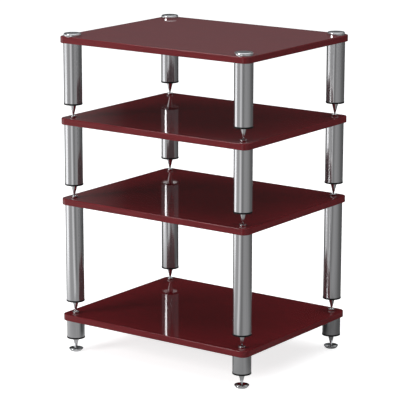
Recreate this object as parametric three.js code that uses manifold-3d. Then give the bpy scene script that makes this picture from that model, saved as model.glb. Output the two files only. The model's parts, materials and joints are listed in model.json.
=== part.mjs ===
// An audio equipment rack: four lacquered boards, each standing on four round metal columns.
// A cone spike in the foot of each column stands in a small cup on the board below,
// and the lowest spikes stand in floor pads. A stud under each cup and each top cap
// goes through the board and into the column, and clamps the board to it.
// Millimetres, +Z up. The origin is on the floor, under the middle of the rack.

import * as THREE from 'three';
import { mergeVertices } from 'three/addons/utils/BufferGeometryUtils.js';
import Module from 'manifold-3d';

const wasm = await Module();
wasm.setup();

// Boards
const boardWidth = 620;
const boardDepth = 500;
const boardThickness = 18;
const boardCornerRadius = 20;
const boardEdgeRound = 1.5;

// Rise of each tier, from the top of the board below to the top of its own board
const lowerTierRise = 330;
const middleTierRise = 224;
const upperTierRise = 224;

// Columns
const columnDiameter = 50;
const columnInset = 29;
const columnWall = 2;
const baseColumnLength = 52;
const topBlockLength = 20;
const bottomBlockLength = 24;
const endRingHeight = 4.5;
const endRingProud = 0.5;

// Threads, drawn as plain rods and bores
const threadDiameter = 8;
const threadClearance = 0.3;
const studReach = 16;
const shankLength = 20;

// Spikes
const spikeDiameter = 18;
const spikeLength = 33;
const spikeCollarHeight = 1;
const spikeTipDiameter = 2;

// Running gap at a spike's tip and at its shoulder
const seatGap = 0.3;

// Cups on the boards
const cupRimDiameter = 19;
const cupFootDiameter = 17;
const cupFloor = 2.7;
const cupDishDepth = 2.3;
const cupRimWidth = 1.5;

// Floor pads
const padRimDiameter = 40;
const padFootDiameter = 30;
const padFloor = 5;
const padDishDepth = 3;
const padRimWidth = 2;
const padRimHeight = 1.5;

// Flat pit in the middle of every dish
const pitDiameter = 3.6;

// Caps on the top board
const capDiameter = 48.5;
const capHeight = 8;
const capEdgeRound = 3;

// Facets
const columnSteps = 20;
const discSteps = 20;
const cupSteps = 12;
const spikeSteps = 12;
const holeSteps = 12;
const cornerSteps = 6;
const edgeSteps = 2;
const capEdgeSteps = 3;

// Sizes that follow from the ones above
const columnRadius = columnDiameter / 2;
const boreRadius = threadDiameter / 2 + threadClearance;
const rodRadius = threadDiameter / 2;
const spikeStand = seatGap + spikeLength + seatGap;
const columnX = boardWidth / 2 - columnInset;
const columnY = boardDepth / 2 - columnInset;

const corners = [
  { name: 'front_left', x: -columnX, y: -columnY },
  { name: 'front_right', x: columnX, y: -columnY },
  { name: 'rear_left', x: -columnX, y: columnY },
  { name: 'rear_right', x: columnX, y: columnY },
];

// Finishes
const finishes = {
  lacquer: { color: 0x7d2229, roughness: 0.22, metalness: 0 },
  aluminium: { color: 0xb9b9bd, roughness: 0.28, metalness: 1 },
  chrome: { color: 0xd8d8da, roughness: 0.1, metalness: 1 },
};

// Turns a profile of [radius, height] pairs about Z. A profile runs up its outer side.
function turned(profile, steps) {
  const points = profile.map(([radius, height]) => new THREE.Vector2(radius, height));
  const geometry = new THREE.LatheGeometry(points, steps);
  geometry.rotateX(Math.PI / 2);
  return geometry;
}

// A profile that doesn't reach the axis closes on its own first point.
function turnedRing(profile, steps) {
  return turned([...profile, profile[0]], steps);
}

function solidFrom(geometry) {
  const bare = geometry.clone();
  bare.deleteAttribute('normal');
  bare.deleteAttribute('uv');
  const merged = mergeVertices(bare);
  return new wasm.Manifold(new wasm.Mesh({
    numProp: 3,
    vertProperties: merged.attributes.position.array,
    triVerts: Uint32Array.from(merged.index.array),
  }));
}

function geometryFrom(solid) {
  const mesh = solid.getMesh();
  const geometry = new THREE.BufferGeometry();
  geometry.setAttribute('position', new THREE.BufferAttribute(mesh.vertProperties, mesh.numProp));
  geometry.setIndex(new THREE.BufferAttribute(mesh.triVerts, 1));
  geometry.computeVertexNormals();
  return geometry;
}

// The board's outline, with a quarter arc at each corner
function boardOutline() {
  const arcX = boardWidth / 2 - boardCornerRadius;
  const arcY = boardDepth / 2 - boardCornerRadius;
  const quarter = Math.PI / 2;
  const shape = new THREE.Shape();
  shape.absarc(arcX, arcY, boardCornerRadius, 0, quarter);
  shape.absarc(-arcX, arcY, boardCornerRadius, quarter, 2 * quarter);
  shape.absarc(-arcX, -arcY, boardCornerRadius, 2 * quarter, 3 * quarter);
  shape.absarc(arcX, -arcY, boardCornerRadius, 3 * quarter, 4 * quarter);
  return shape;
}

// A board with softly rounded edges and a stud hole over each column. Its underside is at zero.
function boardGeometry() {
  const slab = new THREE.ExtrudeGeometry(boardOutline(), {
    depth: boardThickness - 2 * boardEdgeRound,
    curveSegments: cornerSteps,
    bevelThickness: boardEdgeRound,
    bevelSize: boardEdgeRound,
    bevelOffset: -boardEdgeRound,
    bevelSegments: edgeSteps,
  });
  slab.translate(0, 0, boardEdgeRound);
  let board = solidFrom(slab);
  for (const corner of corners) {
    const drill = turned([
      [0, -boardThickness],
      [boreRadius, -boardThickness],
      [boreRadius, 2 * boardThickness],
      [0, 2 * boardThickness],
    ], holeSteps);
    drill.translate(corner.x, corner.y, 0);
    board = board.subtract(solidFrom(drill));
  }
  return geometryFrom(board);
}

// A tube with a bored block in each end and the end ring round its foot, which is at zero
function columnGeometry(length) {
  const hollowRadius = columnRadius - columnWall;
  return turnedRing([
    [boreRadius, 0],
    [columnRadius + endRingProud, 0],
    [columnRadius + endRingProud, endRingHeight],
    [columnRadius, endRingHeight],
    [columnRadius, length],
    [boreRadius, length],
    [boreRadius, length - topBlockLength],
    [hollowRadius, length - topBlockLength],
    [hollowRadius, bottomBlockLength],
    [boreRadius, bottomBlockLength],
  ], columnSteps);
}

// A solid column, bored right through, with the same end ring
function baseColumnGeometry(length) {
  return turnedRing([
    [boreRadius, 0],
    [columnRadius + endRingProud, 0],
    [columnRadius + endRingProud, endRingHeight],
    [columnRadius, endRingHeight],
    [columnRadius, length],
    [boreRadius, length],
  ], columnSteps);
}

// A cone with its tip at zero, and the shank that screws into the column
function spikeGeometry() {
  return turned([
    [0, 0],
    [spikeTipDiameter / 2, 0],
    [spikeDiameter / 2, spikeLength - spikeCollarHeight],
    [spikeDiameter / 2, spikeLength],
    [rodRadius, spikeLength],
    [rodRadius, spikeLength + shankLength],
    [0, spikeLength + shankLength],
  ], spikeSteps);
}

// A cup that stands on a board at zero, with its stud below
function cupGeometry() {
  const rimTop = cupFloor + cupDishDepth;
  const studBottom = -(boardThickness + studReach);
  return turned([
    [0, studBottom],
    [rodRadius, studBottom],
    [rodRadius, 0],
    [cupFootDiameter / 2, 0],
    [cupRimDiameter / 2, rimTop],
    [cupRimDiameter / 2 - cupRimWidth, rimTop],
    [pitDiameter / 2, cupFloor],
    [0, cupFloor],
  ], cupSteps);
}

// A cap that lies on the top board at zero, with its stud below
function capGeometry() {
  const studBottom = -(boardThickness + studReach);
  const profile = [
    [0, studBottom],
    [rodRadius, studBottom],
    [rodRadius, 0],
    [capDiameter / 2, 0],
  ];
  for (let step = 0; step <= capEdgeSteps; step += 1) {
    const angle = (Math.PI / 2) * (step / capEdgeSteps);
    profile.push([
      capDiameter / 2 - capEdgeRound * (1 - Math.cos(angle)),
      capHeight - capEdgeRound * (1 - Math.sin(angle)),
    ]);
  }
  profile.push([0, capHeight]);
  return turned(profile, discSteps);
}

// A saucer that stands on the floor at zero
function padGeometry() {
  const rimTop = padFloor + padDishDepth;
  return turned([
    [0, 0],
    [padFootDiameter / 2, 0],
    [padRimDiameter / 2, rimTop - padRimHeight],
    [padRimDiameter / 2, rimTop],
    [padRimDiameter / 2 - padRimWidth, rimTop],
    [pitDiameter / 2, padFloor],
    [0, padFloor],
  ], discSteps);
}

function piece(name, geometry, finish) {
  const mesh = new THREE.Mesh(geometry, new THREE.MeshStandardMaterial(finishes[finish]));
  mesh.name = name;
  return mesh;
}

// One copy of a piece at each corner, at one height in its tier
function addAtCorners(group, prefix, geometry, finish, height) {
  for (const corner of corners) {
    const mesh = piece(`${prefix}_${corner.name}`, geometry.clone(), finish);
    mesh.position.set(corner.x, corner.y, height);
    group.add(mesh);
  }
}

// A tier stands on the surface at its zero, on dishes whose floors are seat above it.
function makeTier({ name, seat, columnLength, column, onTop, fitting }) {
  const tier = new THREE.Group();
  const columnFoot = seat + spikeStand;
  const boardBottom = columnFoot + columnLength;
  const boardTop = boardBottom + boardThickness;
  const board = piece(`${name}_board`, boardGeometry(), 'lacquer');
  board.position.z = boardBottom;
  tier.add(board);
  addAtCorners(tier, `${name}_spike`, spikeGeometry(), 'chrome', seat + seatGap);
  addAtCorners(tier, `${name}_column`, column(columnLength), 'aluminium', columnFoot);
  addAtCorners(tier, onTop, fitting(), 'chrome', boardTop);
  return { tier, boardTop };
}

// The length of a column that lifts its board by rise
function columnFor(rise) {
  return rise - boardThickness - spikeStand - cupFloor;
}

const tiers = [
  { name: 'base', seat: padFloor, columnLength: baseColumnLength, column: baseColumnGeometry },
  { name: 'lower', seat: cupFloor, columnLength: columnFor(lowerTierRise), column: columnGeometry },
  { name: 'middle', seat: cupFloor, columnLength: columnFor(middleTierRise), column: columnGeometry },
  { name: 'upper', seat: cupFloor, columnLength: columnFor(upperTierRise), column: columnGeometry },
];

const rack = new THREE.Group();
addAtCorners(rack, 'floor_pad', padGeometry(), 'chrome', 0);

let standHeight = 0;
for (const sizes of tiers) {
  const isTop = sizes === tiers[tiers.length - 1];
  const onTop = isTop ? 'top_cap' : `${sizes.name}_cup`;
  const fitting = isTop ? capGeometry : cupGeometry;
  const { tier, boardTop } = makeTier({ ...sizes, onTop, fitting });
  tier.position.z = standHeight;
  standHeight += boardTop;
  rack.add(tier);
}

export default rack;
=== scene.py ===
# %% [markdown]
# # An audio equipment rack
# Four lacquered boards stand one above the other on round metal columns. Each column
# ends in a cone spike, which stands in a small cup on the board below, and the lowest
# spikes stand in floor pads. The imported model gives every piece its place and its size.
# This notebook makes the fine surface of each piece with bmesh operators, gives it a
# finish made of shader nodes, and then sets the camera, the floor and the light.

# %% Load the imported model
import json
import math

import bmesh
import bpy
from mathutils import Matrix, Vector


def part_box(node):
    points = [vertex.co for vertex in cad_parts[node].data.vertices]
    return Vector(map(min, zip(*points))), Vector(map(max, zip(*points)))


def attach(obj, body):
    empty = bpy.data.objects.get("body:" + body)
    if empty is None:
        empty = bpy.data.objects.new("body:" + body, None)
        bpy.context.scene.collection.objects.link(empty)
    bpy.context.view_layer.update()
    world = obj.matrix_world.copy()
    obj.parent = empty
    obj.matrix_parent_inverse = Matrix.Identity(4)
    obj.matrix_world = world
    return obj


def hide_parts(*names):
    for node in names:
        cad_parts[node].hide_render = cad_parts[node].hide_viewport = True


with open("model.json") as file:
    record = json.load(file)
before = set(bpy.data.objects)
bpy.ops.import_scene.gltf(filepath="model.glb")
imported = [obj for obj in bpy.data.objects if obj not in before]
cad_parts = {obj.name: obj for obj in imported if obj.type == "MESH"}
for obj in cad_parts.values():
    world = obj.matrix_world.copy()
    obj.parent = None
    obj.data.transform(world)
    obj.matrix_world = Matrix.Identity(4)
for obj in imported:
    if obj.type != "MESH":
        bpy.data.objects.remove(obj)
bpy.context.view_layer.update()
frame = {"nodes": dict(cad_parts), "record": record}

MM = 0.001
TIERS = ["base", "lower", "middle", "upper"]
CORNERS = ["front_left", "front_right", "rear_left", "rear_right"]
print("nodes in the packed model:", len(frame["nodes"]))

# %% [markdown]
# ## Finishes as shader nodes
# A finish on a real product is never one even colour. Lacquered wood shows its grain
# through a clear coat, drawn tube has fine lines along its length, and plated steel has
# faint cloudy patches. All of that can be made with noise textures, so no picture file
# is needed. The patterns read Object coordinates, and every piece has its object at the
# world's origin, so one pattern runs through the whole rack in real metres. A few small
# helpers keep the node code short.


# %% Helpers for node trees
def join(owner, giver, giver_socket, taker, taker_socket):
    """Joins one node's output to another node's input."""
    owner.node_tree.links.new(giver.outputs[giver_socket], taker.inputs[taker_socket])


def new_finish(name):
    """A new material and its shader, which is joined to the output."""
    material = bpy.data.materials.new(name)
    material.use_nodes = True
    nodes = material.node_tree.nodes
    nodes.clear()
    output = nodes.new("ShaderNodeOutputMaterial")
    shader = nodes.new("ShaderNodeBsdfPrincipled")
    join(material, shader, "BSDF", output, "Surface")
    return material, shader


def ramp(owner, texture, stops, socket="Fac"):
    """A colour ramp over a node's output, from (position, colour) stops."""
    node = owner.node_tree.nodes.new("ShaderNodeValToRGB")
    while len(node.color_ramp.elements) < len(stops):
        node.color_ramp.elements.new(0.5)
    for element, (position, color) in zip(node.color_ramp.elements, stops):
        element.position = position
        element.color = (*color, 1)
    join(owner, texture, socket, node, "Fac")
    return node


print("helpers for node trees are ready")

# %% Helpers for noise
# Most of a noise lies between these two values.
NOISE_LOW = 0.3
NOISE_HIGH = 0.7


def stretched_noise(material, scale, stretch=(1.0, 1.0, 1.0), detail=2.0, roughness=0.5):
    """Noise on Object coordinates, which a Mapping node can draw out."""
    nodes = material.node_tree.nodes
    place = nodes.new("ShaderNodeTexCoord")
    mapping = nodes.new("ShaderNodeMapping")
    mapping.inputs["Scale"].default_value = stretch
    noise = nodes.new("ShaderNodeTexNoise")
    noise.inputs["Scale"].default_value = scale
    noise.inputs["Detail"].default_value = detail
    noise.inputs["Roughness"].default_value = roughness
    join(material, place, "Object", mapping, "Vector")
    join(material, mapping, "Vector", noise, "Vector")
    return noise


def spread(material, noise, low, high):
    """Maps the middle of a noise onto the range from low to high."""
    node = material.node_tree.nodes.new("ShaderNodeMapRange")
    node.inputs["From Min"].default_value = NOISE_LOW
    node.inputs["From Max"].default_value = NOISE_HIGH
    node.inputs["To Min"].default_value = low
    node.inputs["To Max"].default_value = high
    join(material, noise, "Fac", node, "Value")
    return node


def bump(material, noise, height, shader, socket="Normal"):
    """Lets a noise raise the surface by a height in metres."""
    node = material.node_tree.nodes.new("ShaderNodeBump")
    node.inputs["Strength"].default_value = 1.0
    node.inputs["Distance"].default_value = height
    join(material, noise, "Fac", node, "Height")
    join(material, node, "Normal", shader, socket)


print("noise is read from", NOISE_LOW, "to", NOISE_HIGH)

# %% [markdown]
# ## Cherry-red lacquer
# The boards are stained wood under a thick gloss lacquer. Two layers make that look:
# the base carries the stain and the grain, and the shader's coat carries the gloss. The
# grain is noise drawn out along X, the long way of the boards. Its colours lie close
# together, because a dark stain hides most of the figure. The coat has a very slight
# flow of its own, as sprayed lacquer does.

# %% Lacquer
GRAIN_SCALE = 9.0
GRAIN_STRETCH = (1.6, 26.0, 26.0)
FLOW_SCALE = 55.0
FLOW_HEIGHT = 0.012 * MM

lacquer, shader = new_finish("cherry_lacquer")
grain = stretched_noise(lacquer, GRAIN_SCALE, stretch=GRAIN_STRETCH, detail=6.0,
                        roughness=0.62)
stain = ramp(lacquer, grain, [
    (0.30, (0.140, 0.0070, 0.0105)),
    (0.52, (0.180, 0.0095, 0.0140)),
    (0.74, (0.210, 0.0125, 0.0175)),
])
join(lacquer, stain, "Color", shader, "Base Color")
shader.inputs["Roughness"].default_value = 0.5
shader.inputs["Specular IOR Level"].default_value = 0.0
shader.inputs["Coat Weight"].default_value = 0.9
shader.inputs["Coat Roughness"].default_value = 0.06
shader.inputs["Coat IOR"].default_value = 1.5
flow = stretched_noise(lacquer, FLOW_SCALE, detail=1.0)
bump(lacquer, flow, FLOW_HEIGHT, shader, socket="Coat Normal")
print("lacquer:", len(lacquer.node_tree.nodes), "nodes")

# %% [markdown]
# ## Metals and plastic
# The columns are polished aluminium tube. Drawing and polishing leave lines along the
# tube, so the noise is fine across and very long in Z, and it changes only the gloss
# and a hair of the colour. A bump would bend the straight stripes that such a tube
# mirrors, so there is none. Cups, caps and pads are bright chrome, and the spikes are a
# satin one, which shows its form more than its surroundings. The end rings are a black
# plastic with a fine moulded grain.

# %% Aluminium
LINE_SCALE = 520.0
LINE_STRETCH = (1.0, 1.0, 0.004)

aluminium, shader = new_finish("polished_aluminium")
shader.inputs["Metallic"].default_value = 1.0
lines = stretched_noise(aluminium, LINE_SCALE, stretch=LINE_STRETCH)
tone = ramp(aluminium, lines, [
    (NOISE_LOW, (0.575, 0.575, 0.588)),
    (NOISE_HIGH, (0.625, 0.625, 0.638)),
])
join(aluminium, tone, "Color", shader, "Base Color")
gloss = spread(aluminium, lines, 0.10, 0.14)
join(aluminium, gloss, "Result", shader, "Roughness")
print("aluminium:", len(aluminium.node_tree.nodes), "nodes")

# %% Chrome
CLOUD_SCALE = 140.0


def plated(name, dark, light, smooth, rough):
    """A plated metal with faint clouds in its tone and its gloss."""
    material, shader = new_finish(name)
    shader.inputs["Metallic"].default_value = 1.0
    clouds = stretched_noise(material, CLOUD_SCALE)
    tone = ramp(material, clouds, [(NOISE_LOW, dark), (NOISE_HIGH, light)])
    join(material, tone, "Color", shader, "Base Color")
    gloss = spread(material, clouds, smooth, rough)
    join(material, gloss, "Result", shader, "Roughness")
    return material


chrome = plated("bright_chrome", dark=(0.700, 0.705, 0.715), light=(0.750, 0.752, 0.762),
                smooth=0.05, rough=0.08)
satin = plated("satin_chrome", dark=(0.620, 0.620, 0.630), light=(0.690, 0.690, 0.700),
               smooth=0.17, rough=0.23)
print("plated metals:", chrome.name, "and", satin.name)

# %% Black plastic
SPECKLE_SCALE = 900.0
SPECKLE_HEIGHT = 0.02 * MM

plastic, shader = new_finish("black_plastic")
speckle = stretched_noise(plastic, SPECKLE_SCALE)
tone = ramp(plastic, speckle, [
    (NOISE_LOW, (0.004, 0.004, 0.004)),
    (NOISE_HIGH, (0.008, 0.008, 0.009)),
])
join(plastic, tone, "Color", shader, "Base Color")
shader.inputs["Specular IOR Level"].default_value = 0.2
gloss = spread(plastic, speckle, 0.42, 0.56)
join(plastic, gloss, "Result", shader, "Roughness")
bump(plastic, speckle, SPECKLE_HEIGHT, shader)
print("plastic:", len(plastic.node_tree.nodes), "nodes")

# %% [markdown]
# ## Turned pieces
# Columns, spikes, cups, caps and pads are all turned on a lathe, and bmesh has the same
# tool. A half section is drawn as a few vertices in the XZ plane, its corners are
# rounded by a vertex bevel while it is still a line, and spin sweeps it once round Z.
# Rounding the line first is simpler than finding the ring of edges afterwards. The
# vertices on the axis come out once for each step, so doubles are merged before the
# normals are set. Every piece is shaded smooth, with weighted normals: a large face
# then keeps its own direction up to a rounded edge, and gloss and mirrored stripes stay
# straight on it.

# %% Spin a half section
ROUND_STEPS = 4
TURN_STEPS = 96
SMALL_TURN_STEPS = 64
TOUCHING = 0.001 * MM


def rounded(bm, geom, offset, steps=ROUND_STEPS, affect="VERTICES"):
    """Rounds some vertices or edges of a bmesh."""
    bmesh.ops.bevel(bm, geom=geom, offset=offset, offset_type="OFFSET", affect=affect,
                    segments=steps, profile=0.5, material=-1)


def half_section(points, closed=False, steps=ROUND_STEPS):
    """A bmesh line through (radius, height, rounding) points, in metres."""
    bm = bmesh.new()
    verts = [bm.verts.new((radius, 0, height)) for radius, height, _ in points]
    pairs = list(zip(verts, verts[1:]))
    if closed:
        pairs.append((verts[-1], verts[0]))
    for pair in pairs:
        bm.edges.new(pair)
    for vert, (_, _, rounding) in zip(verts, points):
        if rounding:
            rounded(bm, [vert], rounding, steps=steps)
    return bm


def turned(points, steps=TURN_STEPS, closed=False):
    """A bmesh spun once round Z from the points of a half section."""
    bm = half_section(points, closed=closed)
    bmesh.ops.spin(bm, geom=bm.verts[:] + bm.edges[:], cent=(0, 0, 0), axis=(0, 0, 1),
                   angle=2 * math.pi, steps=steps, use_merge=True)
    bmesh.ops.remove_doubles(bm, verts=bm.verts, dist=TOUCHING)
    bmesh.ops.recalc_face_normals(bm, faces=bm.faces)
    return bm


print("a full turn takes", TURN_STEPS, "steps, or", SMALL_TURN_STEPS, "on small pieces")

# %% Put a piece in its place
SHARP_ANGLE = math.radians(32)


def foot_of(node):
    """The middle of a node's underside, in metres."""
    low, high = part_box(node)
    return Vector(((low.x + high.x) / 2, (low.y + high.y) / 2, low.z))


def body_of(node):
    """The body that a node belongs to."""
    bodies = frame["record"]["behaviour"]["bodies"]
    return next(body for body, nodes in bodies.items() if node in nodes)


def mesh_from(bm, name):
    """A mesh made of a bmesh, which is freed."""
    mesh = bpy.data.meshes.new(name)
    bm.to_mesh(mesh)
    bm.free()
    return mesh


def linked(name, data):
    """A new object in the scene for a mesh, a camera or a lamp."""
    thing = bpy.data.objects.new(name, data)
    bpy.context.scene.collection.objects.link(thing)
    return thing


def place(bm, name, at, finish, slot, node, stands_for=True):
    """Makes an object of a copy of bm, moved to a point, which rides with a node."""
    copy = bm.copy()
    bmesh.ops.translate(copy, vec=at, verts=copy.verts)
    mesh = mesh_from(copy, name)
    mesh.shade_smooth()
    mesh.set_sharp_from_angle(angle=SHARP_ANGLE)
    mesh.materials.append(finish)
    piece = linked(name, mesh)
    even = piece.modifiers.new("even_normals", "WEIGHTED_NORMAL")
    even.keep_sharp = True
    even.weight = 100
    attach(piece, body_of(node))
    if stands_for:
        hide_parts(node)


print("edges stay sharp past", round(math.degrees(SHARP_ANGLE)), "degrees")

# %% [markdown]
# ## Boards
# Each board is an 18 mm slab with large rounded corners and softly rounded edges. A
# grid with one face becomes its outline: a vertex bevel turns the four corners into
# arcs, extrude gives the thickness, and an edge bevel rounds both rims. The stud holes
# come last. The two flat faces are deleted and filled again with a circle left open
# over each column, and bridge_loops makes the wall of each hole. A boolean would do it
# too, but this leaves a clean mesh.

# %% Board
BOARD_CORNER = 20 * MM
BOARD_EDGE = 2 * MM
CORNER_STEPS = 24
EDGE_STEPS = 6

board_low, board_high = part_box("base_board")
board_width, board_depth, board_thickness = board_high - board_low

board = bmesh.new()
bmesh.ops.create_grid(board, x_segments=1, y_segments=1, size=0.5)
bmesh.ops.scale(board, vec=(board_width, board_depth, 1), verts=board.verts)
rounded(board, board.verts[:], BOARD_CORNER, steps=CORNER_STEPS)
grown = bmesh.ops.extrude_face_region(board, geom=board.faces[:])
lifted = [part for part in grown["geom"] if isinstance(part, bmesh.types.BMVert)]
bmesh.ops.translate(board, vec=(0, 0, board_thickness), verts=lifted)
bmesh.ops.recalc_face_normals(board, faces=board.faces)
rims = [edge for edge in board.edges
        if abs(edge.verts[0].co.z - edge.verts[1].co.z) < TOUCHING]
rounded(board, rims, BOARD_EDGE, steps=EDGE_STEPS, affect="EDGES")
print("slab faces:", len(board.faces))

# %% Stud holes
THREAD_RADIUS = 4 * MM
THREAD_CLEARANCE = 0.3 * MM
HOLE_RADIUS = THREAD_RADIUS + THREAD_CLEARANCE
HOLE_STEPS = 32
NEARLY_LEVEL = 0.999

stud_places = [foot_of(f"base_column_{corner}").xy for corner in CORNERS]


def open_for_studs(bm, height, facing):
    """Fills one flat face again, with a circle left open at each stud."""
    flat = [face for face in bm.faces if face.normal.z * facing > NEARLY_LEVEL
            and abs(face.calc_center_median().z - height) < TOUCHING]
    edges = flat[0].edges[:]
    bmesh.ops.delete(bm, geom=flat, context="FACES_ONLY")
    for x, y in stud_places:
        circle = bmesh.ops.create_circle(bm, cap_ends=False, segments=HOLE_STEPS,
                                         radius=HOLE_RADIUS,
                                         matrix=Matrix.Translation((x, y, height)))
        edges += {edge for vert in circle["verts"] for edge in vert.link_edges}
    bmesh.ops.triangle_fill(bm, use_beauty=True, edges=edges, normal=(0, 0, facing))


open_for_studs(board, board_thickness, 1)
open_for_studs(board, 0, -1)
for stud_place in stud_places:
    wall = [edge for edge in board.edges if len(edge.link_faces) == 1
            and (edge.verts[0].co.xy - stud_place).length < 2 * HOLE_RADIUS]
    bmesh.ops.bridge_loops(board, edges=wall)
bmesh.ops.recalc_face_normals(board, faces=board.faces)
print("board is closed:", all(edge.is_manifold for edge in board.edges))

# %% Put the boards in place
for tier in TIERS:
    node = f"{tier}_board"
    at = foot_of(node)
    place(board, f"{node}_lacquered", at, lacquer, "board_lacquer", node)
    print(node, "underside at", round(at.z / MM, 1), "mm")

# %% [markdown]
# ## Columns
# A column is a tube with a threaded block pressed into each end, and a black ring wraps
# its lower end. They are separate pieces on the real rack, so they are separate here:
# the ring has to be plastic and the tube metal. The short columns of the base are solid
# and bored through. A tiny round on the upper rim catches the light, as a machined edge
# does.

# %% Column pieces
COLUMN_RADIUS = 25 * MM
COLUMN_WALL = 2 * MM
COLUMN_EDGE = 0.4 * MM
RING_HEIGHT = 4.5 * MM
RING_RADIUS = 25.5 * MM
RING_FLOOR = 1.2 * MM
RING_OPENING = 20.5 * MM
RING_OPENING_EDGE = 0.2 * MM
RING_LOWER_EDGE = 0.5 * MM
RING_UPPER_EDGE = 0.35 * MM
SLIP = 0.05 * MM


def tube_section(length):
    """The wall of a tube that starts on the floor of its end ring."""
    inside = COLUMN_RADIUS - COLUMN_WALL
    return [(inside, RING_FLOOR, 0), (COLUMN_RADIUS - SLIP, RING_FLOOR, 0),
            (COLUMN_RADIUS - SLIP, RING_HEIGHT, 0),
            (COLUMN_RADIUS, RING_HEIGHT + SLIP, 0),
            (COLUMN_RADIUS, length, COLUMN_EDGE), (inside, length, 0)]


def solid_section(length):
    """A solid column, bored right through."""
    neck = RING_OPENING - SLIP
    return [(HOLE_RADIUS, 0, 0), (neck, 0, 0), (neck, RING_FLOOR, 0),
            (COLUMN_RADIUS - SLIP, RING_FLOOR, 0),
            (COLUMN_RADIUS - SLIP, RING_HEIGHT, 0),
            (COLUMN_RADIUS, RING_HEIGHT + SLIP, 0),
            (COLUMN_RADIUS, length, COLUMN_EDGE), (HOLE_RADIUS, length, 0)]


end_ring = turned([
    (RING_OPENING, 0, RING_OPENING_EDGE), (RING_RADIUS, 0, RING_LOWER_EDGE),
    (RING_RADIUS, RING_HEIGHT, RING_UPPER_EDGE), (COLUMN_RADIUS, RING_HEIGHT, 0),
    (COLUMN_RADIUS, RING_FLOOR, 0), (RING_OPENING, RING_FLOOR, 0),
], closed=True)
print("end ring faces:", len(end_ring.faces))

# %% Threaded blocks
BLOCK_RADIUS = COLUMN_RADIUS - COLUMN_WALL - SLIP
BLOCK_NECK = RING_OPENING - SLIP
BOTTOM_BLOCK = 24 * MM
TOP_BLOCK = 20 * MM
BORE_EDGE = 0.3 * MM

bottom_block = turned([
    (HOLE_RADIUS, 0, BORE_EDGE), (BLOCK_NECK, 0, 0), (BLOCK_NECK, RING_FLOOR, 0),
    (BLOCK_RADIUS, RING_FLOOR, 0), (BLOCK_RADIUS, BOTTOM_BLOCK, 0),
    (HOLE_RADIUS, BOTTOM_BLOCK, 0),
], closed=True)
top_block = turned([
    (HOLE_RADIUS, -TOP_BLOCK, 0), (BLOCK_RADIUS, -TOP_BLOCK, 0),
    (BLOCK_RADIUS, 0, 0), (HOLE_RADIUS, 0, 0),
], closed=True)
print("block faces:", len(bottom_block.faces), "and", len(top_block.faces))

# %% Put the columns in place
for tier in TIERS:
    low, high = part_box(f"{tier}_column_front_left")
    length = high.z - low.z
    section = solid_section(length) if tier == "base" else tube_section(length)
    wall = turned(section, closed=True)
    for corner in CORNERS:
        node = f"{tier}_column_{corner}"
        at = foot_of(node)
        place(wall, f"{node}_tube", at, aluminium, "column_aluminium", node)
        place(end_ring, f"{node}_ring", at, plastic, "end_ring", node, stands_for=False)
        if tier != "base":
            place(bottom_block, f"{node}_foot_block", at, aluminium,
                  "column_aluminium", node, stands_for=False)
            place(top_block, f"{node}_top_block", at + Vector((0, 0, length)),
                  aluminium, "column_aluminium", node, stands_for=False)
    print(tier, "columns are", round(length / MM, 1), "mm long")

# %% [markdown]
# ## Spikes
# A spike is one turned piece: a cone, a thin collar at its shoulder, and a shank that
# screws into the column. The tip is blunt, two millimetres across, because a true point
# would dent its cup.

# %% Spike
SPIKE_LENGTH = 33 * MM
SPIKE_RADIUS = 9 * MM
SPIKE_COLLAR = 1 * MM
SPIKE_CONE_EDGE = 0.35 * MM
SPIKE_COLLAR_EDGE = 0.3 * MM
SPIKE_TIP = 1 * MM
SPIKE_TIP_EDGE = 0.5 * MM
SHANK_LENGTH = 20 * MM
SPIKE_TOP = SPIKE_LENGTH + SHANK_LENGTH
THREAD_END = 0.5 * MM

spike = turned([
    (0, 0, 0), (SPIKE_TIP, 0, SPIKE_TIP_EDGE),
    (SPIKE_RADIUS, SPIKE_LENGTH - SPIKE_COLLAR, SPIKE_CONE_EDGE),
    (SPIKE_RADIUS, SPIKE_LENGTH, SPIKE_COLLAR_EDGE), (THREAD_RADIUS, SPIKE_LENGTH, 0),
    (THREAD_RADIUS, SPIKE_TOP, THREAD_END), (0, SPIKE_TOP, 0),
], steps=SMALL_TURN_STEPS)
for tier in TIERS:
    for corner in CORNERS:
        node = f"{tier}_spike_{corner}"
        place(spike, f"{node}_turned", foot_of(node), satin, "spike_chrome", node)
print("spikes:", len(TIERS) * len(CORNERS), "of", len(spike.faces), "faces")

# %% [markdown]
# ## Cups, caps and pads
# These three kinds of fitting are turned too. A cup has a small dish for the spike's
# tip, and a stud below it that runs through the board and holds the column under it. A
# cap is a plain disc with the same stud. A floor pad is a wide saucer that narrows
# towards its foot, so its wall leans out and mirrors the floor. Their rims are well
# rounded, because chrome catches its small bright specks there.

# %% Spike cups
STUD_LENGTH = 34 * MM
CUP_FOOT = 8.5 * MM
CUP_FOOT_EDGE = 0.2 * MM
CUP_RIM = 9.5 * MM
CUP_RIM_WIDTH = 1.5 * MM
CUP_OUTER_EDGE = 0.9 * MM
CUP_INNER_EDGE = 0.5 * MM
CUP_HEIGHT = 5 * MM
CUP_FLOOR = 2.7 * MM
PIT_RADIUS = 1.8 * MM
PIT_EDGE = 0.4 * MM

STUD_POINTS = [(0, -STUD_LENGTH, 0), (THREAD_RADIUS, -STUD_LENGTH, THREAD_END),
               (THREAD_RADIUS, 0, 0)]

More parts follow.
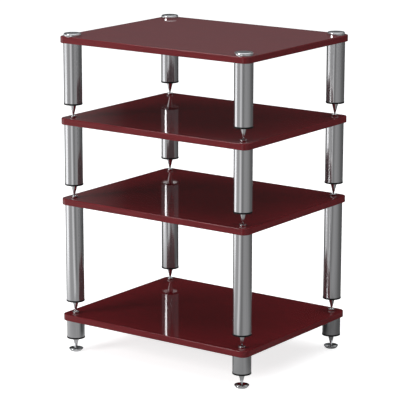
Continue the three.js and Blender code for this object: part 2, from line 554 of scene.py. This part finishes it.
cup = turned(STUD_POINTS + [
    (CUP_FOOT, 0, CUP_FOOT_EDGE), (CUP_RIM, CUP_HEIGHT, CUP_OUTER_EDGE),
    (CUP_RIM - CUP_RIM_WIDTH, CUP_HEIGHT, CUP_INNER_EDGE),
    (PIT_RADIUS, CUP_FLOOR, PIT_EDGE), (0, CUP_FLOOR, 0),
], steps=SMALL_TURN_STEPS)
for tier in TIERS[:-1]:
    for corner in CORNERS:
        node = f"{tier}_cup_{corner}"
        at = foot_of(node) + Vector((0, 0, STUD_LENGTH))
        place(cup, f"{node}_turned", at, chrome, "fitting_chrome", node)
print("cup faces:", len(cup.faces))

# %% Top caps
CAP_RADIUS = 24.25 * MM
CAP_HEIGHT = 8 * MM
CAP_LOWER_EDGE = 0.3 * MM
CAP_UPPER_EDGE = 3 * MM

cap = turned(STUD_POINTS + [
    (CAP_RADIUS, 0, CAP_LOWER_EDGE), (CAP_RADIUS, CAP_HEIGHT, CAP_UPPER_EDGE),
    (0, CAP_HEIGHT, 0),
])
for corner in CORNERS:
    node = f"top_cap_{corner}"
    at = foot_of(node) + Vector((0, 0, STUD_LENGTH))
    place(cap, f"{node}_turned", at, chrome, "fitting_chrome", node)
print("cap faces:", len(cap.faces))

# %% Floor pads
PAD_FOOT = 15 * MM
PAD_FOOT_EDGE = 0.3 * MM
PAD_RIM = 20 * MM
PAD_RIM_WIDTH = 2 * MM
PAD_RIM_HEIGHT = 1.5 * MM
PAD_LOWER_EDGE = 0.5 * MM
PAD_OUTER_EDGE = 0.9 * MM
PAD_INNER_EDGE = 0.8 * MM
PAD_HEIGHT = 8 * MM
PAD_FLOOR = 5 * MM

pad = turned([
    (0, 0, 0), (PAD_FOOT, 0, PAD_FOOT_EDGE),
    (PAD_RIM, PAD_HEIGHT - PAD_RIM_HEIGHT, PAD_LOWER_EDGE),
    (PAD_RIM, PAD_HEIGHT, PAD_OUTER_EDGE),
    (PAD_RIM - PAD_RIM_WIDTH, PAD_HEIGHT, PAD_INNER_EDGE),
    (PIT_RADIUS, PAD_FLOOR, PIT_EDGE), (0, PAD_FLOOR, 0),
])
for corner in CORNERS:
    node = f"floor_pad_{corner}"
    place(pad, f"{node}_turned", foot_of(node), chrome, "fitting_chrome", node)
print("pad faces:", len(pad.faces))

# %% [markdown]
# ## Camera
# The camera stands where the photograph was taken from, to the right of the rack and a
# little above it. Its place was worked out from the boards' corners. A long lens far
# away keeps the boards' edges nearly parallel, as they are in the photograph.

# %% Camera
CAMERA_AT = Vector((3.2106, -4.4931, 1.7023))
CAMERA_TURN = 35.67
CAMERA_DIP = 12.99
CAMERA_ROLL = 0.11
SENSOR_WIDTH = 36.0
FOCAL_LENGTH = 184.9

camera_data = bpy.data.cameras.new("camera")
camera_data.sensor_width = SENSOR_WIDTH
camera_data.lens = FOCAL_LENGTH
camera = linked("camera", camera_data)
camera.matrix_world = (Matrix.Translation(CAMERA_AT)
                       @ Matrix.Rotation(math.radians(CAMERA_TURN), 4, "Z")
                       @ Matrix.Rotation(math.radians(90 - CAMERA_DIP), 4, "X")
                       @ Matrix.Rotation(math.radians(CAMERA_ROLL), 4, "Z"))
bpy.context.scene.camera = camera
print("the camera is", round(CAMERA_AT.length, 2), "m from the rack")

# %% [markdown]
# ## Floor and backdrop
# The floor is a sheet of plain pale paper that sweeps up at its far edge, as in a photo
# studio, so a low camera looks at paper too. Its own colour keeps the rack's soft
# shadow. For the camera, for mirrored rays and for rays through glass it adds a glow,
# so that it comes out white in the picture and in the chrome without more light on the
# rack. Far out the glow sinks and the paper turns a light grey, which polished metal
# stands out against.

# %% Floor
FLOOR_REACH = 25
COVE = 2
BACKDROP_HEIGHT = 3.5

sheet = turned([(0, 0, 0), (FLOOR_REACH, 0, COVE), (FLOOR_REACH, BACKDROP_HEIGHT, 0)])
floor = linked("floor", mesh_from(sheet, "floor"))
floor.data.shade_smooth()
print("the floor is", 2 * FLOOR_REACH, "m across")


# %% Helpers for a glow
def grey(level):
    """A colour that is the same in red, green and blue."""
    return (level, level, level)


def gradient(material, kind, turn=0.0, size=1.0):
    """A gradient over Object coordinates, round Z or out from it."""
    nodes = material.node_tree.nodes
    place = nodes.new("ShaderNodeTexCoord")
    mapping = nodes.new("ShaderNodeMapping")
    mapping.inputs["Rotation"].default_value = (0, 0, turn)
    mapping.inputs["Scale"].default_value = (size, size, size)
    texture = nodes.new("ShaderNodeTexGradient")
    texture.gradient_type = kind
    join(material, place, "Object", mapping, "Vector")
    join(material, mapping, "Vector", texture, "Vector")
    return texture


def worked_out(material, operation, first, first_socket, second, second_socket):
    """A Math node that takes two outputs."""
    node = material.node_tree.nodes.new("ShaderNodeMath")
    node.operation = operation
    join(material, first, first_socket, node, 0)
    join(material, second, second_socket, node, 1)
    return node


print("helpers for a glow are ready")

# %% Floor paper
PAPER_GREY = 0.8
NEAR_GLOW = 0.78
FAR_GLOW = 0.40
# The glow is full from halfway in, and sinks from there to the edge.
FULL_GLOW_FROM = 0.5

paper, shader = new_finish("floor_paper")
shader.inputs["Base Color"].default_value = (*grey(PAPER_GREY), 1)
shader.inputs["Roughness"].default_value = 0.9
shader.inputs["Specular IOR Level"].default_value = 0.1
shader.inputs["Emission Color"].default_value = (*grey(1), 1)
path = paper.node_tree.nodes.new("ShaderNodeLightPath")
seen = worked_out(paper, "MAXIMUM", path, "Is Camera Ray", path, "Is Glossy Ray")
seen = worked_out(paper, "MAXIMUM", seen, "Value", path, "Is Transmission Ray")
inwards = gradient(paper, "SPHERICAL", size=1 / FLOOR_REACH)
strength = ramp(paper, inwards, [(0.0, grey(FAR_GLOW)),
                                 (FULL_GLOW_FROM, grey(NEAR_GLOW))])
glow = worked_out(paper, "MULTIPLY", seen, "Value", strength, "Color")
join(paper, glow, "Value", shader, "Emission Strength")
floor.data.materials.append(paper)
print("paper glows", NEAR_GLOW, "near the rack and", FAR_GLOW, "far out")

# %% [markdown]
# ## World and lamps
# Gloss shows what stands round it, so the world isn't one even grey. It is dim just
# above the backdrop, where a board's top looks when it is seen from a little above.
# Halfway up it is nearly black, which gives the dishes of the cups and pads their dark
# middles, and overhead it is bright, for the caps and the rounded rims. Two large
# softboxes light the rack: a key lamp at the front, and a wide one above.

# %% World
SKY_GREYS = [(0.0, 0.14), (0.13, 0.14), (0.23, 0.21), (0.36, 0.13), (0.50, 0.05),
             (0.62, 0.08), (0.80, 0.60), (1.0, 0.70)]
SKY_TINT = (0.93, 0.97, 1.0)

world = bpy.data.worlds.new("studio")
bpy.context.scene.world = world
world.use_nodes = True
sky = world.node_tree.nodes
direction = sky.new("ShaderNodeTexCoord")
height = sky.new("ShaderNodeSeparateXYZ")
join(world, direction, "Generated", height, "Vector")
shade = ramp(world, height, [(position, [level * part for part in SKY_TINT])
                             for position, level in SKY_GREYS], socket="Z")
join(world, shade, "Color", sky["Background"], "Color")
print("world from", SKY_GREYS[0][1], "to", SKY_GREYS[-1][1])

# %% Lamps
RACK_MIDDLE = Vector((0, 0, 0.45))


def softbox(name, at, size, power):
    """A square area lamp that looks at the middle of the rack."""
    data = bpy.data.lights.new(name, "AREA")
    data.shape = "SQUARE"
    data.size = size
    data.energy = power
    lamp = linked(name, data)
    lamp.location = at
    aim = RACK_MIDDLE - lamp.location
    lamp.rotation_euler = aim.to_track_quat("-Z", "Y").to_euler()


softbox("key", at=(-2.2, -4.4, 2.6), size=2.0, power=120)
softbox("top", at=(0.0, 0.6, 4.0), size=6.5, power=84)
print("two softboxes look at a height of", round(RACK_MIDDLE.z, 2), "m")

# %% [markdown]
# ## Cards for the metal
# A polished column is a mirror, so it shows the studio and not its own colour. With
# white paper all round, the columns would come out as flat white bars. A photographer
# stands grey and black cards round such a subject, with gaps where the white paper
# still shows. Two cards here are arcs that run along the floor and then up to the
# height of a table. Two dark ones hang behind the rack, one above the other, for the
# tops of the lower boards, and the higher one turns lighter at its end, where the
# boards' left corners look. Only reflections see the cards: they light nothing and cast
# no shadow. Each glows with a tone of its own that changes softly along its arc, read by
# a colour ramp from a radial gradient. A round grey mat lies under the rack, for the
# short columns, which mirror only the floor at their feet. Its grey is a glow too, and
# its middle is darker: a painted shadow where the rack shades the floor. It fades out,
# so that its edge doesn't show.

# %% Card helpers
CAMERA_SIDE = math.radians(-54.3)


def unlit(name):
    """A black finish for a card, which a glow is added to."""
    material, shader = new_finish(name)
    shader.inputs["Base Color"].default_value = (*grey(0), 1)
    shader.inputs["Specular IOR Level"].default_value = 0.0
    shader.inputs["Emission Strength"].default_value = 1.0
    return material, shader


def tones_round(material, stops, middle=0.0):
    """Greys round Z at (degrees, level) stops, within 180 degrees of the middle."""
    around = gradient(material, "RADIAL", turn=-CAMERA_SIDE - math.radians(middle))
    return ramp(material, around, [((degrees - middle) / 360 + 0.5, grey(level))
                                   for degrees, level in stops])


def stage_for_mirrors(bm, name, material):
    """Makes an object of a bmesh that only reflections see."""
    thing = linked(name, mesh_from(bm, name))
    thing.data.materials.append(material)
    thing.visible_camera = False
    thing.visible_diffuse = False
    thing.visible_shadow = False


print("degrees are counted from the camera's side,", round(math.degrees(CAMERA_SIDE), 1))

# %% Cards round the rack
CARD_BEND_STEPS = 6
CARD_TURN_STEP = 4
SWEEP = [(0.7, 0.007, 0), (2.6, 0.007, 0.5), (2.6, 0.72, 0)]
HANGING_LOW = [(1.5, 0.40, 0), (1.5, 0.675, 0)]
HANGING_HIGH = [(1.5, 0.675, 0), (1.5, 1.041, 0)]


def card(name, line, stops):
    """A card swept along an arc, with its tone at (degrees, level) stops."""
    begin, end = stops[0][0], stops[-1][0]
    bm = half_section(line, steps=CARD_BEND_STEPS)
    bmesh.ops.rotate(bm, verts=bm.verts, cent=(0, 0, 0),
                     matrix=Matrix.Rotation(CAMERA_SIDE + math.radians(begin), 3, "Z"))
    bmesh.ops.spin(bm, geom=bm.verts[:] + bm.edges[:], cent=(0, 0, 0), axis=(0, 0, 1),
                   angle=math.radians(end - begin),
                   steps=round((end - begin) / CARD_TURN_STEP))
    material, shader = unlit(name)
    tones = tones_round(material, stops, middle=(begin + end) / 2)
    join(material, tones, "Color", shader, "Emission Color")
    stage_for_mirrors(bm, name, material)
    print(name, "from", begin, "to", end, "degrees")


card("far_left_card", SWEEP, [(-166, 0.10), (-140, 0.16), (-126, 0.30), (-116, 0.70)])
card("front_card", SWEEP, [
    (-82, 0.78), (-71, 0.55), (-60, 0.44), (-46, 0.44), (-39, 0.52), (-32, 0.90),
    (-24, 0.90), (-16, 0.50), (-9, 0.30), (-2, 0.22), (4, 0.27), (14, 0.38),
    (30, 0.39), (50, 0.35), (64, 0.29), (75, 0.23), (90, 0.16), (128, 0.12),
    (146, 0.05), (160, 0.05),
])
card("low_back_card", HANGING_LOW, [(158, 0.03), (202, 0.03)])
card("high_back_card", HANGING_HIGH, [(158, 0.03), (190, 0.03), (197, 0.16)])

# %% Mat under the rack
MAT_REACH = 1.5
MAT_HEIGHT = 0.5 * MM
MAT_STEPS = 64
MAT_TONES = [
    (-180, 0.45), (-96, 0.68), (-76, 0.48), (-60, 0.42), (-16, 0.42), (10, 0.34),
    (23, 0.36), (41, 0.19), (50, 0.15), (70, 0.19), (84, 0.13), (112, 0.10),
    (150, 0.30),
]

mat = bmesh.new()
bmesh.ops.create_circle(mat, cap_ends=True, segments=MAT_STEPS, radius=MAT_REACH,
                        matrix=Matrix.Translation((0, 0, MAT_HEIGHT)))
mat_glow, shader = unlit("grey_mat_glow_and_painted_shadow")
side_tone = tones_round(mat_glow, MAT_TONES)
outwards = gradient(mat_glow, "SPHERICAL", size=1 / MAT_REACH)
fade = ramp(mat_glow, outwards, [(0.0, grey(0)), (0.55, grey(1))])
# Painted shadow: the mat's glow drops to a fifth within 0.15 m of the middle, under the
# rack, and is full again from 0.3 m out.
shadow = ramp(mat_glow, outwards, [(0.80, grey(1)), (0.90, grey(0.20))])
tone = mat_glow.node_tree.nodes.new("ShaderNodeVectorMath")
tone.operation = "MULTIPLY"
join(mat_glow, side_tone, "Color", tone, 0)
join(mat_glow, shadow, "Color", tone, 1)
join(mat_glow, tone, "Vector", shader, "Emission Color")
join(mat_glow, fade, "Color", shader, "Alpha")
stage_for_mirrors(mat, "grey_mat", mat_glow)
print("the mat fades out at", MAT_REACH, "m")

# %% Finish
bpy.context.scene.view_settings.view_transform = "Standard"
